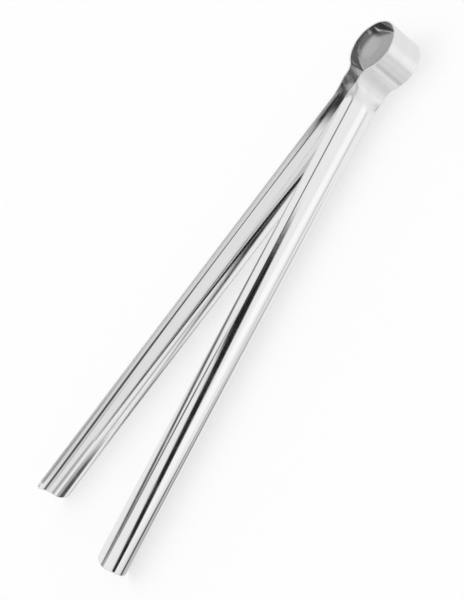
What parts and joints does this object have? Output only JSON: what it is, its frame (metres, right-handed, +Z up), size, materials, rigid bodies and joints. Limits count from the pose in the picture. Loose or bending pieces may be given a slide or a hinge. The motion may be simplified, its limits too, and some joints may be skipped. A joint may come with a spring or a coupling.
{
  "type": "coal tongs",
  "caption": "Spring coal tongs bent from a strip of polished stainless steel, with a round bow and long trough-shaped arms.",
  "frame": {"origin": "on the table, midway between the tips and the top of the bow", "axes": "+X in the opening direction, towards the right arm; +Y from the tips to the bow; +Z up, along the axis of the bow"},
  "size_m": [0.1216, 0.4, 0.027],
  "materials": {
    "polished_steel": "mirror polished"
  },
  "bodies": {
    "bow": {"bow": "polished_steel"},
    "left_arm": {"left_arm": "polished_steel"},
    "right_arm": {"right_arm": "polished_steel"}
  },
  "joints": [
    {"name": "right_arm_spring", "type": "hinge", "parent": "bow", "child": "right_arm", "pos_m": [0, 0.1805, 0.0135], "axis": [0, 0, -1], "range_deg": [-3, 7.95], "stiffness_Nm_per_rad": 9.2, "deforming": ["bow"]},
    {"name": "left_arm_spring", "type": "hinge", "parent": "bow", "child": "left_arm", "pos_m": [0, 0.1805, 0.0135], "axis": [0, 0, 1], "range_deg": [-3, 7.95], "stiffness_Nm_per_rad": 9.2, "deforming": ["bow"]}
  ],
  "couplings": [
    {"joint": "left_arm_spring", "follows": "right_arm_spring", "ratio": 1}
  ]
}
